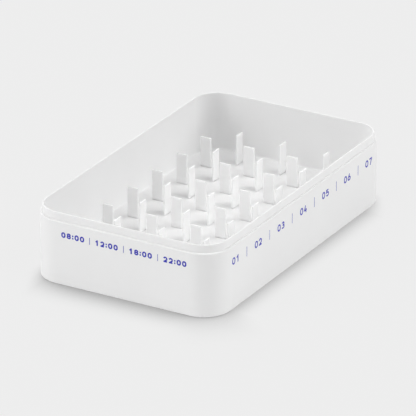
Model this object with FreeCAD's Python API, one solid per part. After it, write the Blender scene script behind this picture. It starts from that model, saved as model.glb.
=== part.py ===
"""Weekly medication organiser tray: an outer shell, a lift-out tray with divider blades, and four feet.

Millimetres. +X runs across the doses, +Y runs along the days, away from the front, and +Z is up.
The origin is at the bottom centre of the whole object, on the surface it stands on.
"""
import FreeCAD, Part
import os

# Overall size
outer_width = 130.0            # across the doses
outer_length = 216.0           # along the days
corner_radius = 18.2           # outer corner seen from above
rim_top = 47.0                 # height of the collar's top
collar_height = 5.2            # from the shell's top edge to the collar's top

# Outer shell
shell_wall = 1.5
shell_bottom = 2.0
shell_top_round = 0.7          # outside, at the shell's top edge
shell_base_round = 0.7         # outside, at the shell's lower edge
rib_thickness = 1.6            # ribs inside the bottom, which carry the tray

# Tray that stands in the shell
tray_gap = 0.3                 # between the tray's wall and the shell's wall, covered by the collar
tray_wall = 0.8                # below the collar, which is thicker by the gap
collar_rise = 0.03             # from the shell's top edge up to the collar's underside
tray_floor = 1.8
floor_level = 8.0              # height of the surface that the cups stand on
rim_round = 0.45               # inside and outside, along the collar's top
floor_round = 1.0              # inside, where the floor meets the wall
tray_base_round = 1.0          # outside, at the tray's lower edge
doses = 4
days = 7

# Divider blades
divider_width = 7.6
divider_thickness = 1.1
divider_height = 20.3          # above the floor
divider_round = 0.25
tongue_width = 5.0
tongue_setback = 0.2           # from the tongue's end to the floor's lower face
slot_clearance = 0.1           # each side of a tongue

# Rubber feet
foot_radius = 6.0
foot_height = 1.6
foot_stand = 0.2               # how far a foot stands below the shell
foot_gap = 0.3                 # around a foot in its recess
foot_inset = 22.0              # from the shell's sides to a foot's centre
foot_round = 0.3
boss_wall = 2.0                # around and above a foot's recess

# Worked out from the sizes above
shell_top = rim_top - collar_height
shell_floor = foot_stand + shell_bottom
tray_underside = floor_level - tray_floor
inner_inset = shell_wall + tray_gap + tray_wall
dose_pitch = (outer_width - 2 * inner_inset) / doses
day_pitch = (outer_length - 2 * inner_inset) / days
overcut = 1.0                  # how far a cutter runs past the face that it opens


def rounded_block(inset, low, high):
    """A block with the shell's plan, drawn in by inset all round, between two heights."""
    block = centred_box(outer_width - 2 * inset, outer_length - 2 * inset, low, high)
    upright = [edge for edge in block.Edges if edge.BoundBox.ZLength > (high - low) / 2]
    return block.makeFillet(corner_radius - inset, upright)


def centred_box(width, length, low, high, x=0.0, y=0.0):
    """An upright box centred on x and y, between two heights."""
    corner = FreeCAD.Vector(x - width / 2, y - length / 2, low)
    return Part.makeBox(width, length, high - low, corner)


def round_level_edges(solid, level, radius):
    """The solid with each edge that lies wholly at one height rounded."""
    edges = []
    for edge in solid.Edges:
        box = edge.BoundBox
        off_level = max(abs(box.ZMin - level), abs(box.ZMax - level))
        if off_level < radius / 10:
            edges.append(edge)
    return solid.makeFillet(radius, edges)


def placed(shape, x, y, turn=0):
    """A copy of the shape, turned about Z in degrees and then moved to x and y."""
    copy = shape.copy()
    copy.rotate(FreeCAD.Vector(0, 0, 0), FreeCAD.Vector(0, 0, 1), turn)
    copy.translate(FreeCAD.Vector(x, y, 0))
    return copy


def dose_centres():
    """X of the middle of each dose's column."""
    return [(column + 0.5 - doses / 2) * dose_pitch for column in range(doses)]


def dose_lines():
    """X of each line between two neighbouring doses."""
    return [(line - doses / 2) * dose_pitch for line in range(1, doses)]


def day_centres():
    """Y of the middle of each day's row."""
    return [(row + 0.5 - days / 2) * day_pitch for row in range(days)]


def day_lines():
    """Y of each line between two neighbouring days."""
    return [(line - days / 2) * day_pitch for line in range(1, days)]


def divider_places():
    """Name, x, y and turn of each divider: one at the middle of every side that two cells share."""
    places = []
    for row, y in enumerate(day_lines(), start=1):
        for column, x in enumerate(dose_centres(), start=1):
            places.append((f"day_divider_{row}_{column}", x, y, 0))
    for row, y in enumerate(day_centres(), start=1):
        for column, x in enumerate(dose_lines(), start=1):
            places.append((f"dose_divider_{row}_{column}", x, y, 90))
    return places


def foot_places():
    """Name, x and y of each foot."""
    x = outer_width / 2 - foot_inset
    y = outer_length / 2 - foot_inset
    return [
        ("foot_front_left", -x, -y),
        ("foot_front_right", x, -y),
        ("foot_back_left", -x, y),
        ("foot_back_right", x, y),
    ]


def make_shell():
    """The box: bottom, wall, ribs that carry the tray under its divider slots, and bosses for the feet."""
    body = rounded_block(0.0, foot_stand, shell_top)
    body = round_level_edges(body, foot_stand, shell_base_round)
    body = round_level_edges(body, shell_top, shell_top_round)
    body = body.cut(rounded_block(shell_wall, shell_floor, shell_top + overcut))

    inside = rounded_block(shell_wall, shell_floor - overcut, tray_underside)
    ribs = []
    for x in dose_lines():
        ribs.append(centred_box(rib_thickness, outer_length, shell_floor - overcut, tray_underside, x=x))
    for y in day_lines():
        ribs.append(centred_box(outer_width, rib_thickness, shell_floor - overcut, tray_underside, y=y))
    recess_radius = foot_radius + foot_gap
    down = FreeCAD.Vector(0, 0, -1)
    for _, x, y in foot_places():
        top = FreeCAD.Vector(x, y, tray_underside)
        boss_height = tray_underside - foot_stand - overcut
        ribs.append(Part.makeCylinder(recess_radius + boss_wall, boss_height, top, down))
    body = body.fuse([rib.common(inside) for rib in ribs]).removeSplitter()

    for _, x, y in foot_places():
        roof = FreeCAD.Vector(x, y, foot_height)
        body = body.cut(Part.makeCylinder(recess_radius, foot_height + overcut, roof, down))
    return body


def make_tray():
    """The liner: a floor with a slot for each divider, and a thin wall that ends in the collar."""
    body = rounded_block(shell_wall + tray_gap, tray_underside, rim_top)
    body = round_level_edges(body, tray_underside, tray_base_round)
    body = body.fuse(rounded_block(shell_wall, shell_top + collar_rise, rim_top)).removeSplitter()
    hollow = rounded_block(inner_inset, floor_level, rim_top + overcut)
    body = body.cut(round_level_edges(hollow, floor_level, floor_round))
    body = round_level_edges(body, rim_top, rim_round)

    slot_width = tongue_width + 2 * slot_clearance
    slot_length = divider_thickness + 2 * slot_clearance
    slot = centred_box(slot_width, slot_length, tray_underside - overcut, floor_level + overcut)
    slots = [placed(slot, x, y, turn) for _, x, y, turn in divider_places()]
    return body.cut(slots)


def make_divider():
    """A blade with softened edges that stands on the floor, and a narrower tongue that fills its slot."""
    blade = centred_box(divider_width, divider_thickness, floor_level, floor_level + divider_height)
    foot_line = floor_level + divider_round
    soft = [edge for edge in blade.Edges if edge.BoundBox.ZMax > foot_line]
    blade = blade.makeFillet(divider_round, soft)
    tongue = centred_box(tongue_width, divider_thickness, tray_underside + tongue_setback, foot_line)
    return blade.fuse(tongue).removeSplitter()


def make_foot():
    """A low rubber disc with a softened lower edge, its upper face against the roof of its recess."""
    disc = Part.makeCylinder(foot_radius, foot_height)
    return round_level_edges(disc, 0.0, foot_round)


def main():
    """Make every piece in its place, and write one file for each."""
    nodes = {"outer_shell": make_shell(), "inner_tray": make_tray()}
    divider = make_divider()
    for name, x, y, turn in divider_places():
        nodes[name] = placed(divider, x, y, turn)
    foot = make_foot()
    for name, x, y in foot_places():
        nodes[name] = placed(foot, x, y)

    os.makedirs("parts", exist_ok=True)
    for name, shape in nodes.items():
        if not shape.isValid() or len(shape.Solids) != 1:
            raise ValueError(f"{name} isn't one valid solid")
        shape.Solids[0].exportStep(f"parts/{name}.step")
    print(f"{len(nodes)} pieces; cells {dose_pitch:.2f} by {day_pitch:.2f} mm")


main()
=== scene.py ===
"""Looks for the medication organiser tray: finishes, printed numbers, light, floor and camera, in metres."""
import math

import bmesh
import bpy
from mathutils import Matrix, Vector


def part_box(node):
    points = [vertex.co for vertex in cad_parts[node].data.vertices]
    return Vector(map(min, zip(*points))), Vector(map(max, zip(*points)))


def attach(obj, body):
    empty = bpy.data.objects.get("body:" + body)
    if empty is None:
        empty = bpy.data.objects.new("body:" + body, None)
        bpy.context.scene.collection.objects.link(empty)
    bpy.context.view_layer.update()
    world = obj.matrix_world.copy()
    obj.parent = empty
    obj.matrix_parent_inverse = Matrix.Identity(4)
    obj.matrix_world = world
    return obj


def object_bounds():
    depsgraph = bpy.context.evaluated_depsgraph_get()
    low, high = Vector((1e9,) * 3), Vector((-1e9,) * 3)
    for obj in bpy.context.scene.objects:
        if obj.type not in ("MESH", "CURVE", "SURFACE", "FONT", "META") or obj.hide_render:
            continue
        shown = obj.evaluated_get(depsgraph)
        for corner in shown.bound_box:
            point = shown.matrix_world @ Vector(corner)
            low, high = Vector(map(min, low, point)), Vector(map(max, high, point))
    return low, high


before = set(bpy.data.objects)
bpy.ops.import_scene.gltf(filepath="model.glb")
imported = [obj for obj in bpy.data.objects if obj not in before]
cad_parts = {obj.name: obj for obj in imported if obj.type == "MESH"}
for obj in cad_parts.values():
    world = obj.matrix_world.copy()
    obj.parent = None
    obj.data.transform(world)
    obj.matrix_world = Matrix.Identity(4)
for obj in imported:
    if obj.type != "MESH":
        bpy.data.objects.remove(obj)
cad_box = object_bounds()

MM = 0.001

# Camera: a long-lens view of the front end, which lies at the left, and of the right long side
CAMERA_AZIMUTH = 29.85         # degrees from -Y towards +X
CAMERA_ELEVATION = 23.87       # degrees above the floor
CAMERA_DISTANCE = 3.266
CAMERA_LENS = 459.0            # in mm, like the sensor's width
SENSOR_WIDTH = 36.0
CLIP_START = 0.1
CLIP_END = 50.0
LOOK_HEIGHT = 25.0 * MM        # the point on the tray's own axis that the aim is counted from
AIM_RIGHT = -1.81 * MM         # the aim, moved in the view's own directions
AIM_UP = -5.67 * MM

# Studio
FLOOR_HALF = 4.0
FLOOR_DROP = 0.01 * MM         # below the feet, so that no two faces coincide
FLOOR_TONE = 0.847             # of the floor's own colour, which the lamps light
BACKDROP_TONE = 0.847          # of the backdrop, and of the floor where it is evened out
EVEN_SHARE = 0.95              # how far the floor is evened out to the backdrop's tone where it is seen
# Of the painted contact shadow, an ambient-occlusion shade worked into the floor's glow, each at three
# places: in front of the tray, at its near corner, and beside it
PAINTED_SHADOW_REACH = (28.0 * MM, 42.0 * MM, 16.5 * MM)
PAINTED_SHADOW_DEPTH = (0.52, 0.56, 0.41)  # share of the floor's tone that it takes at the wall
PAINTED_SHADOW_BLEND = 20.0 * MM      # over which one place's value turns into the next one's
PAINTED_SHADOW_CURVE = 1.7            # how steeply it fades near the wall
PAINTED_SHADOW_END = 0.4              # of its reach and depth, what is left round the left and the far corners
OPEN_AT_WALL = 0.5             # the occlusion's value where a wall meets the floor; it is 1 in the open
AMBIENT = 0.3                  # strength of the even light from all round
# name, azimuth, elevation and apparent size in degrees, and strength
LAMPS = (
    ("lamp_right", 90.0, 50.0, 45.0, 0.95),
    ("lamp_front_left", 315.0, 50.0, 45.0, 0.95),
    ("lamp_back_right", 120.0, 35.0, 30.0, 0.75),
    ("lamp_low_back_left", 225.0, 20.0, 45.0, 0.9),
    ("lamp_low_front_left", 315.0, 20.0, 45.0, 0.75),
)

# Finishes; each size is that of the lumps of noise, and each height that of the bumps they make
NOISE_RANGE = (0.3, 0.7)       # the useful middle of a noise value
SEED_STEP = (0.37, 0.71, 0.13)  # how far one seed moves the noise, in metres
SHELL_TONE = 0.86
TRAY_TONE = 0.865
DIVIDER_TONE = 0.81
DIVIDER_DEPTH = 3.0 * MM       # how far light passes into the thin blades
PLASTIC_IOR = 1.49
PLASTIC_ROUGHNESS = (0.53, 0.63)
PLASTIC_CLOUD = 0.985          # the darkest cloud, as a share of the tone
PLASTIC_CLOUD_SIZE = 26.0 * MM
PLASTIC_SHEEN_SIZE = 9.0 * MM
GRAIN_SIZE = 0.45 * MM
GRAIN_HEIGHT = 0.006 * MM
WAVE_SIZE = 14.0 * MM
WAVE_HEIGHT = 0.05 * MM
FOOT_TONE = 0.34
RUBBER_ROUGHNESS = (0.68, 0.82)
RUBBER_CLOUD = 0.93
RUBBER_CLOUD_SIZE = 3.0 * MM
RUBBER_SHEEN_SIZE = 1.2 * MM
PIT_SIZE = 0.3 * MM
PIT_HEIGHT = 0.02 * MM
INK_ROUGHNESS = (0.34, 0.46)
INK_THIN = 1.25                # how much paler the ink is where its cover is thin
INK_COVER_SIZE = 0.5 * MM
INK_SHEEN_SIZE = 0.8 * MM
INK_GRAIN_SIZE = 0.2 * MM
INK_GRAIN_HEIGHT = 0.003 * MM

# Printed marks
ARC_STEP = 12.0                # degrees, at most, between two points of a curve
INK_COLOUR = (0.018, 0.022, 0.380)
INK_THICKNESS = 0.04 * MM
INK_PROUD = 0.02 * MM          # how far the print's face stands off the wall
STROKE_LIFT = 0.002 * MM       # each stroke of a figure above the one before, where they cross
FIGURE_WIDTH = 0.80            # of a figure, as a share of its height, like the two below
FIGURE_GAP = 0.22
BAR_WIDTH = 0.10
STROKE_WIDTH = 0.96 * MM       # the same in both rows
MITRE_LIMIT = 0.55             # the sharper the bend, the shorter its corner is cut
FRONT_MARKS = ("08:00", "12:00", "18:00", "22:00")
FRONT_HEIGHT = 3.7 * MM
FRONT_BAR = 4.5 * MM
FRONT_PITCH = 23.7 * MM
FRONT_SHIFT = 1.6 * MM         # of the row, right from the wall's middle
FRONT_DROP = 8.2 * MM          # from the shell's top edge to the middle of the marks
SIDE_MARKS = ("01", "02", "03", "04", "05", "06", "07")
SIDE_HEIGHT = 4.7 * MM
SIDE_BAR = 6.5 * MM
SIDE_PITCH = 28.0 * MM
SIDE_DROP = 10.1 * MM


def tinted(tone):
    """A neutral colour with that linear tone."""
    return (tone, tone, tone, 1.0)


def new_material(name):
    """A material with only its output and Principled shader, and its node tree."""
    material = bpy.data.materials.new(name)
    material.use_nodes = True
    return material, material.node_tree, material.node_tree.nodes["Principled BSDF"]


def noise(tree, size, seed, detail=2.0):
    """Noise over the object's own space, whose lumps are about size metres across."""
    place = tree.nodes.new("ShaderNodeTexCoord")
    shift = tree.nodes.new("ShaderNodeVectorMath")
    shift.operation = "ADD"
    shift.inputs[1].default_value = [seed * step for step in SEED_STEP]
    texture = tree.nodes.new("ShaderNodeTexNoise")
    texture.inputs["Scale"].default_value = 1.0 / size
    texture.inputs["Detail"].default_value = detail
    tree.links.new(place.outputs["Object"], shift.inputs[0])
    tree.links.new(shift.outputs[0], texture.inputs["Vector"])
    return texture.outputs["Fac"]


def ramped(tree, value, start, end, low, high):
    """The value, where it runs from start to end, made to run from low to high."""
    ramp = tree.nodes.new("ShaderNodeMapRange")
    ramp.inputs["From Min"].default_value = start
    ramp.inputs["From Max"].default_value = end
    ramp.inputs["To Min"].default_value = low
    ramp.inputs["To Max"].default_value = high
    tree.links.new(value, ramp.inputs["Value"])
    return ramp.outputs["Result"]


def spread(tree, value, low, high):
    """The noise value's useful middle stretched to run from low to high."""
    return ramped(tree, value, *NOISE_RANGE, low, high)


def mixed_colour(tree, factor, first, second):
    """A colour between two, by factor."""
    mix = tree.nodes.new("ShaderNodeMix")
    mix.data_type = "RGBA"
    colours = [socket for socket in mix.inputs if socket.type == "RGBA"]
    colours[0].default_value = first
    colours[1].default_value = second
    tree.links.new(factor, mix.inputs["Factor"])
    return next(socket for socket in mix.outputs if socket.type == "RGBA")


def bumped(tree, shader, layers):
    """Chain bump layers, each (noise value, height in metres), into the shader's normal."""
    normal = None
    for value, height in layers:
        bump = tree.nodes.new("ShaderNodeBump")
        bump.inputs["Strength"].default_value = 1.0
        bump.inputs["Distance"].default_value = height
        tree.links.new(value, bump.inputs["Height"])
        if normal is not None:
            tree.links.new(normal, bump.inputs["Normal"])
        normal = bump.outputs["Normal"]
    tree.links.new(normal, shader.inputs["Normal"])


def moulded_plastic(name, tone, seed, depth=0.0):
    """White moulded plastic: faint clouding, a fine eroded grain, slow flow waves and an uneven sheen.

    With a depth, light passes that far into it, so that a thin piece glows through.
    """
    material, tree, shader = new_material(name)
    clouds = spread(tree, noise(tree, PLASTIC_CLOUD_SIZE, seed), 0.0, 1.0)
    colour = mixed_colour(tree, clouds, tinted(tone * PLASTIC_CLOUD), tinted(tone))
    tree.links.new(colour, shader.inputs["Base Color"])
    sheen = spread(tree, noise(tree, PLASTIC_SHEEN_SIZE, seed + 1, detail=3.0), *PLASTIC_ROUGHNESS)
    tree.links.new(sheen, shader.inputs["Roughness"])
    shader.inputs["IOR"].default_value = PLASTIC_IOR
    if depth:
        shader.inputs["Subsurface Weight"].default_value = 1.0
        shader.inputs["Subsurface Radius"].default_value = (1.0, 1.0, 1.0)
        shader.inputs["Subsurface Scale"].default_value = depth
    grain = noise(tree, GRAIN_SIZE, seed + 2)
    waves = noise(tree, WAVE_SIZE, seed + 3, detail=1.0)
    bumped(tree, shader, [(waves, WAVE_HEIGHT), (grain, GRAIN_HEIGHT)])
    return material


def silicone_rubber(name, tone, seed):
    """Light grey silicone with a dull, finely pitted skin."""
    material, tree, shader = new_material(name)
    clouds = spread(tree, noise(tree, RUBBER_CLOUD_SIZE, seed), 0.0, 1.0)
    colour = mixed_colour(tree, clouds, tinted(tone * RUBBER_CLOUD), tinted(tone))
    tree.links.new(colour, shader.inputs["Base Color"])
    dull = spread(tree, noise(tree, RUBBER_SHEEN_SIZE, seed + 1), *RUBBER_ROUGHNESS)
    tree.links.new(dull, shader.inputs["Roughness"])
    bumped(tree, shader, [(noise(tree, PIT_SIZE, seed + 2), PIT_HEIGHT)])
    return material


def print_ink(name, seed):
    """Pad-printed blue ink: slightly uneven cover and a soft gloss."""
    material, tree, shader = new_material(name)
    cover = spread(tree, noise(tree, INK_COVER_SIZE, seed), 0.0, 1.0)
    thin = tuple(channel * INK_THIN for channel in INK_COLOUR) + (1.0,)
    colour = mixed_colour(tree, cover, thin, INK_COLOUR + (1.0,))
    tree.links.new(colour, shader.inputs["Base Color"])
    gloss = spread(tree, noise(tree, INK_SHEEN_SIZE, seed + 1), *INK_ROUGHNESS)
    tree.links.new(gloss, shader.inputs["Roughness"])
    bumped(tree, shader, [(noise(tree, INK_GRAIN_SIZE, seed + 2), INK_GRAIN_HEIGHT)])
    return material


def dress_nodes():
    """Give every CAD node the finish of its kind."""
    shell = moulded_plastic("shell_white", SHELL_TONE, seed=1)
    tray = moulded_plastic("tray_white", TRAY_TONE, seed=11)
    dividers = moulded_plastic("divider_white", DIVIDER_TONE, seed=21, depth=DIVIDER_DEPTH)
    feet = silicone_rubber("foot_grey", FOOT_TONE, seed=31)
    for name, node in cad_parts.items():
        if name == "outer_shell":
            finish = shell
        elif name == "inner_tray":
            finish = tray
        elif name.startswith("foot_"):
            finish = feet
        else:
            finish = dividers
        node.data.materials.clear()
        node.data.materials.append(finish)


def link(name, mesh, material):
    """A new object for a mesh, in the scene."""
    mesh.materials.clear()
    mesh.materials.append(material)
    piece = bpy.data.objects.new(name, mesh)
    bpy.context.scene.collection.objects.link(piece)
    return piece


def arc(x, y, across, up, start, end):
    """Points along part of an ellipse, from one angle to another, in degrees."""
    steps = math.ceil(abs(end - start) / ARC_STEP)
    turns = [math.radians(start + (end - start) * step / steps) for step in range(steps + 1)]
    return [(x + across * math.cos(turn), y + up * math.sin(turn)) for turn in turns]


def figure_strokes(figure, s):
    """Centre lines of a figure one unit high in strokes s wide, from the middle of its lower left stroke."""
    w = FIGURE_WIDTH - s
    h = 1.0 - s
    r = w / 2
    waist = 0.52 * h
    lower = arc(r, waist / 2, r, waist / 2, 0, 360)
    upper = arc(r, (h + waist) / 2, 0.9 * r, (h - waist) / 2, 0, 360)
    shapes = {
        "0": [arc(r, h - r, r, r, 0, 180) + arc(r, r, r, r, 180, 360) + [(w, h - r)]],
        "1": [[(0.08 * w, 0.69 * h), (0.62 * w, h - 0.1 * s)], [(0.62 * w, h + s / 2), (0.62 * w, -s / 2)]],
        "2": [arc(r, h - r, r, r, 165, -40) + [(0.12 * w, 0.02 * h)], [(-s / 4, 0), (w + s / 4, 0)]],
        "3": [
            arc(r, (h + waist) / 2, 0.9 * r, (h - waist) / 2, 150, -90),
            arc(r, waist / 2, r, waist / 2, 90, -150),
            [(0.35 * w, waist), (r, waist)],
        ],
        "4": [
            [(0.58 * w, h + s / 3), (0.04 * w, 0.27 * h), (w + s / 4, 0.27 * h)],
            [(0.74 * w, 0.6 * h), (0.74 * w, -s / 2)],
        ],
        "5": [
            [(0.95 * w, h), (0.12 * w, h), (0.08 * w, 0.46 * h)],
            arc(r, 0.32 * h, r, 0.32 * h, 145, -150),
        ],
        "6": [arc(r, 0.29 * h, r, 0.29 * h, 0, 360), [(0.7 * w, h + s / 3), (0.067 * w, 0.435 * h)]],
        "7": [[(0, h), (w, h), (0.36 * w, -s / 2)]],
        "8": [lower, upper],
        ":": [[(0, y * h - s / 2), (0, y * h + s / 2)] for y in (0.14, 0.72)],
    }
    return shapes[figure]


def draw_stroke(shape, points, width, lift):
    """Add a flat bar of ink along the points, with mitred bends, as a closed solid."""
    closed = (Vector(points[0]) - Vector(points[-1])).length < width / 100
    line = [Vector(point) for point in (points[:-1] if closed else points)]
    edges = []
    for index, point in enumerate(line):
        ways = []
        if index or closed:
            ways.append((point - line[index - 1]).normalized())
        if index < len(line) - 1 or closed:
            ways.append((line[(index + 1) % len(line)] - point).normalized())
        way = sum(ways, Vector((0, 0))).normalized()
        side = Vector((-way.y, way.x)) * width / 2 / max(way.dot(ways[0]), MITRE_LIMIT)
        corners = (point + side, point - side)
        edges.append([shape.verts.new((*corner, lift - INK_THICKNESS)) for corner in corners])
    if closed:
        edges.append(edges[0])
    faces = [shape.faces.new((*before, *reversed(after))) for before, after in zip(edges, edges[1:])]
    raised = bmesh.ops.extrude_face_region(shape, geom=faces)
    moved = [item for item in raised["geom"] if isinstance(item, bmesh.types.BMVert)]
    bmesh.ops.translate(shape, verts=moved, vec=(0, 0, INK_THICKNESS))


def ink_mesh(name, strokes, width):
    """Strokes of ink as one mesh, whose face is at z 0, centred on x and y."""
    shape = bmesh.new()
    for index, points in enumerate(strokes):
        draw_stroke(shape, points, width, index * STROKE_LIFT)
    bmesh.ops.recalc_face_normals(shape, faces=shape.faces)
    for axis in (0, 1):
        reach = [vertex.co[axis] for vertex in shape.verts]
        for vertex in shape.verts:
            vertex.co[axis] -= (min(reach) + max(reach)) / 2
    mesh = bpy.data.meshes.new(name)
    shape.to_mesh(mesh)
    shape.free()
    return mesh


def number_mesh(text, height):
    """A row of figures of that height."""
    strokes = []
    start = 0.0
    share = STROKE_WIDTH / height
    for figure in text:
        for points in figure_strokes(figure, share):
            strokes.append([((x + start) * height, y * height) for x, y in points])
        start += FIGURE_GAP + (share if figure == ":" else FIGURE_WIDTH)
    return ink_mesh("number", strokes, STROKE_WIDTH)


def print_row(side, marks, sizes, middle, right, normal, ink):
    """Numbers along a wall, evenly spaced about middle, with a bar between each two."""
    height, bar_height, pitch = sizes
    turn = Matrix((right, Vector((0, 0, 1)), normal)).transposed().to_4x4()
    for index, mark in enumerate(marks):
        spot = middle + normal * INK_PROUD + right * (index - (len(marks) - 1) / 2) * pitch
        number = number_mesh(mark, height)
        number.transform(Matrix.Translation(spot) @ turn)
        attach(link(f"{side}_number_{index + 1}", number, ink), "shell")
        if index:
            bar = ink_mesh("bar", [[(0, -bar_height / 2), (0, bar_height / 2)]], BAR_WIDTH * height)
            bar.transform(Matrix.Translation(spot - right * pitch / 2) @ turn)
            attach(link(f"{side}_bar_{index}", bar, ink), "shell")


def print_marks():
    """Clock times along the front wall, and the days' numbers along the right wall."""
    low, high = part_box("outer_shell")
    centre = (low + high) / 2
    ink = print_ink("ink_blue", seed=41)
    front = Vector((centre.x + FRONT_SHIFT, low.y, high.z - FRONT_DROP))
    sizes = (FRONT_HEIGHT, FRONT_BAR, FRONT_PITCH)
    print_row("front", FRONT_MARKS, sizes, front, Vector((1, 0, 0)), Vector((0, -1, 0)), ink)
    side = Vector((high.x, centre.y, high.z - SIDE_DROP))
    sizes = (SIDE_HEIGHT, SIDE_BAR, SIDE_PITCH)
    print_row("side", SIDE_MARKS, sizes, side, Vector((0, 1, 0)), Vector((1, 0, 0)), ink)


def direction(azimuth, elevation):
    """Unit vector towards a point seen at that azimuth, from -Y towards +X, and elevation, in degrees."""
    a = math.radians(azimuth)
    e = math.radians(elevation)
    return Vector((math.sin(a) * math.cos(e), -math.cos(a) * math.cos(e), math.sin(e)))


def make_camera():
    """A long lens at the viewing angle."""
    camera = bpy.data.objects.new("camera", bpy.data.cameras.new("camera"))
    bpy.context.scene.collection.objects.link(camera)
    back = direction(CAMERA_AZIMUTH, CAMERA_ELEVATION)
    right = Vector((0, 0, 1)).cross(back).normalized()
    up = back.cross(right)
    look = Vector((0, 0, LOOK_HEIGHT))
    camera.location = look + back * CAMERA_DISTANCE
    aim = look + right * AIM_RIGHT + up * AIM_UP
    camera.rotation_mode = "QUATERNION"
    camera.rotation_quaternion = (aim - camera.location).to_track_quat("-Z", "Y")
    camera.data.lens = CAMERA_LENS
    camera.data.sensor_width = SENSOR_WIDTH
    camera.data.clip_start = CLIP_START
    camera.data.clip_end = CLIP_END
    bpy.context.scene.camera = camera


def worked(tree, operation, first, second):
    """One step of arithmetic on two values, each a socket or a number."""
    step = tree.nodes.new("ShaderNodeMath")
    step.operation = operation
    for socket, value in zip(step.inputs, (first, second)):
        if isinstance(value, float):
            socket.default_value = value
        else:
            tree.links.new(value, socket)
    return step.outputs[0]


def seen_rays(tree):
    """1 on rays that show a surface or the world, 0 on those that only carry light."""
    path = tree.nodes.new("ShaderNodeLightPath")
    seen = path.outputs["Is Camera Ray"]
    for kind in ("Is Glossy Ray", "Is Transmission Ray"):
        seen = worked(tree, "MAXIMUM", seen, path.outputs[kind])
    return seen


def mixed_shader(tree, factor, first, second, output):
    """Lead a blend of two shaders, by factor, into the output's surface."""
    mix = tree.nodes.new("ShaderNodeMixShader")
    tree.links.new(factor, mix.inputs[0])
    tree.links.new(first.outputs[0], mix.inputs[1])
    tree.links.new(second.outputs[0], mix.inputs[2])
    tree.links.new(mix.outputs[0], output.inputs["Surface"])


def left_by_painted_shadow(tree):
    """What share of the floor's tone the painted contact shadow leaves: an ambient-occlusion shade, widest
    at the near corner.
    """
    low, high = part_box("outer_shell")
    place = tree.nodes.new("ShaderNodeNewGeometry")
    split = tree.nodes.new("ShaderNodeSeparateXYZ")
    tree.links.new(place.outputs["Position"], split.inputs[0])
    x, y = split.outputs["X"], split.outputs["Y"]
    in_front = ramped(tree, y, low.y, low.y + PAINTED_SHADOW_BLEND, 1.0, 0.0)
    left_end = ramped(tree, x, low.x, low.x + PAINTED_SHADOW_BLEND / 2, PAINTED_SHADOW_END, 1.0)
    far_end = ramped(tree, y, high.y - 1.5 * PAINTED_SHADOW_BLEND, high.y - PAINTED_SHADOW_BLEND / 2, 1.0, PAINTED_SHADOW_END)
    ends = worked(tree, "MULTIPLY", left_end, far_end)

    def by_place(front, corner, beside):
        """The value of each place, blended from one to the next."""
        more = ramped(tree, x, high.x - PAINTED_SHADOW_BLEND, high.x, front - beside, corner - beside)
        value = worked(tree, "ADD", worked(tree, "MULTIPLY", more, in_front), beside)
        return worked(tree, "MULTIPLY", value, ends)

    # painted shade: ambient occlusion, not a lamp, darkens the floor's glow near the tray
    near = tree.nodes.new("ShaderNodeAmbientOcclusion")
    tree.links.new(by_place(*PAINTED_SHADOW_REACH), near.inputs["Distance"])
    shade = ramped(tree, near.outputs["AO"], OPEN_AT_WALL, 1.0, 1.0, 0.0)
    shade = worked(tree, "POWER", shade, PAINTED_SHADOW_CURVE)
    return worked(tree, "SUBTRACT", 1.0, worked(tree, "MULTIPLY", shade, by_place(*PAINTED_SHADOW_DEPTH)))


def make_floor():
    """A wide pale floor as even as the backdrop; where seen, it is mostly an even glow with a painted soft
    shadow around the tray's foot.
    """
    mesh = bpy.data.meshes.new("floor")
    corners = [(-1, -1), (1, -1), (1, 1), (-1, 1)]
    level = cad_box[0][2] - FLOOR_DROP
    mesh.from_pydata([(x * FLOOR_HALF, y * FLOOR_HALF, level) for x, y in corners], [], [(0, 1, 2, 3)])
    material, tree, lit = new_material("floor_pale")
    lit.inputs["Base Color"].default_value = tinted(FLOOR_TONE)
    lit.inputs["Roughness"].default_value = 1.0
    lit.inputs["Specular IOR Level"].default_value = 0.0
    even = tree.nodes.new("ShaderNodeEmission")
    even.inputs["Color"].default_value = tinted(BACKDROP_TONE)
    # the glow's strength carries the painted contact shadow
    tree.links.new(left_by_painted_shadow(tree), even.inputs["Strength"])
    share = worked(tree, "MULTIPLY", seen_rays(tree), EVEN_SHARE)
    mixed_shader(tree, share, lit, even, tree.nodes["Material Output"])
    link("floor", mesh, material)


def make_world():
    """Even light from all round; the camera and reflections see the backdrop's tone."""
    world = bpy.data.worlds.new("studio")
    bpy.context.scene.world = world
    world.use_nodes = True
    tree = world.node_tree
    tree.nodes.clear()
    ambient = tree.nodes.new("ShaderNodeBackground")
    ambient.inputs["Color"].default_value = tinted(1.0)
    ambient.inputs["Strength"].default_value = AMBIENT
    backdrop = tree.nodes.new("ShaderNodeBackground")
    backdrop.inputs["Color"].default_value = tinted(BACKDROP_TONE)
    output = tree.nodes.new("ShaderNodeOutputWorld")
    mixed_shader(tree, seen_rays(tree), ambient, backdrop, output)


def make_lamps():
    """Soft distant lamps, which light the whole floor evenly."""
    for name, azimuth, elevation, size, strength in LAMPS:
        data = bpy.data.lights.new(name, "SUN")
        data.angle = math.radians(size)
        data.energy = strength
        lamp = bpy.data.objects.new(name, data)
        bpy.context.scene.collection.objects.link(lamp)
        lamp.rotation_mode = "QUATERNION"
        lamp.rotation_quaternion = direction(azimuth, elevation).to_track_quat("Z", "Y")


make_camera()
dress_nodes()
print_marks()
make_floor()
make_world()
make_lamps()
bpy.context.scene.view_settings.view_transform = "Standard"
